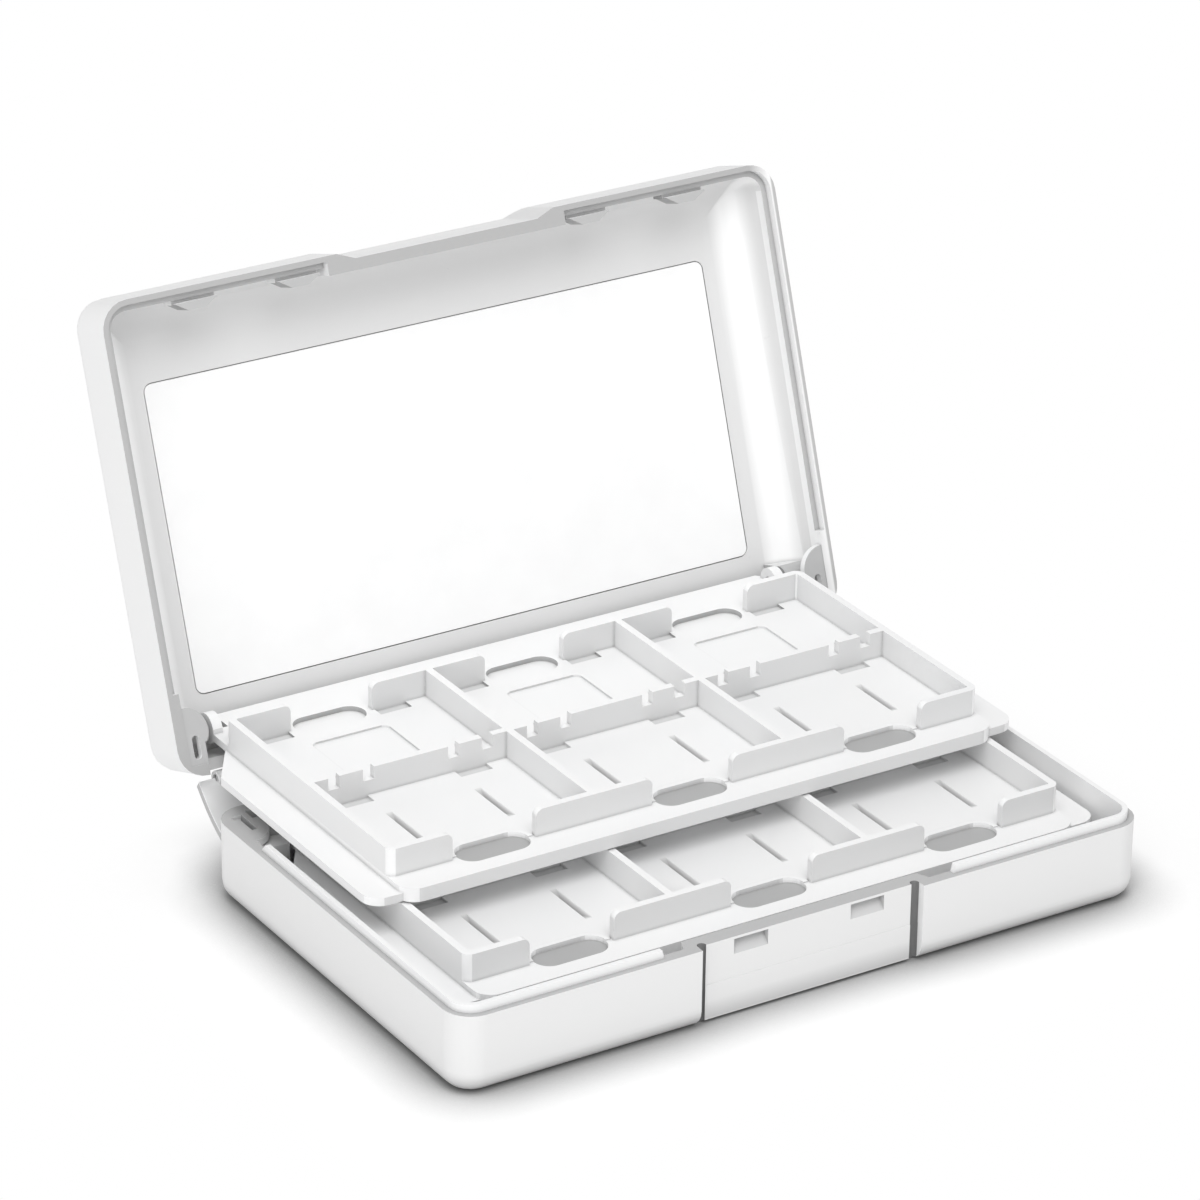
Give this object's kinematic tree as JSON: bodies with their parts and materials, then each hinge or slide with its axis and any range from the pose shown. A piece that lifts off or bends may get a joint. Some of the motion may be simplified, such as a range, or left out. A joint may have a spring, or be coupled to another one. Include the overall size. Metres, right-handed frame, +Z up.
{
  "type": "game card case",
  "caption": "Folding white case for small game cards: a hinged shell with a spine panel and two stacked trays of slots, the upper one swinging back with the lid.",
  "frame": {"origin": "middle of the base's underside, on the surface the case stands on", "axes": "+X to the right as seen from the latch side, +Y to the rear towards the hinges, +Z up"},
  "size_m": [0.118, 0.1139, 0.0824],
  "materials": {
    "shell_plastic": "satin moulded",
    "tray_plastic": "satin moulded",
    "pin_plastic": "smooth",
    "insert_sheet": "plain white sheet"
  },
  "bodies": {
    "base": {"base_shell": "shell_plastic", "lower_tray": "tray_plastic", "base_hinge_pin_left": "pin_plastic", "base_hinge_pin_right": "pin_plastic", "lower_pivot_pin_left": "pin_plastic", "lower_pivot_pin_right": "pin_plastic"},
    "spine": {"spine_panel": "shell_plastic"},
    "lid": {"lid_shell": "shell_plastic", "lid_insert_sheet": "insert_sheet", "lid_hinge_pin_left": "pin_plastic", "lid_hinge_pin_right": "pin_plastic", "upper_pivot_pin_left": "pin_plastic", "upper_pivot_pin_right": "pin_plastic"},
    "upper_tray": {"upper_tray": "tray_plastic"}
  },
  "joints": [
    {"name": "spine_hinge", "type": "hinge", "parent": "base", "child": "spine", "pos_m": [0, 0.0376, 0.0046], "axis": [-1, 0, 0], "range_deg": [-54.5, 0]},
    {"name": "lid_hinge", "type": "hinge", "parent": "spine", "child": "lid", "pos_m": [0, 0.04737, 0.01157], "axis": [-1, 0, 0], "range_deg": [-54.5, 0]},
    {"name": "upper_tray_pivot", "type": "hinge", "parent": "lid", "child": "upper_tray", "pos_m": [0, 0.05135, 0.0182], "axis": [1, 0, 0], "range_deg": [-109, 0]}
  ],
  "couplings": [
    {"joint": "lid_hinge", "follows": "spine_hinge", "ratio": 1},
    {"joint": "upper_tray_pivot", "follows": "spine_hinge", "ratio": 2}
  ]
}
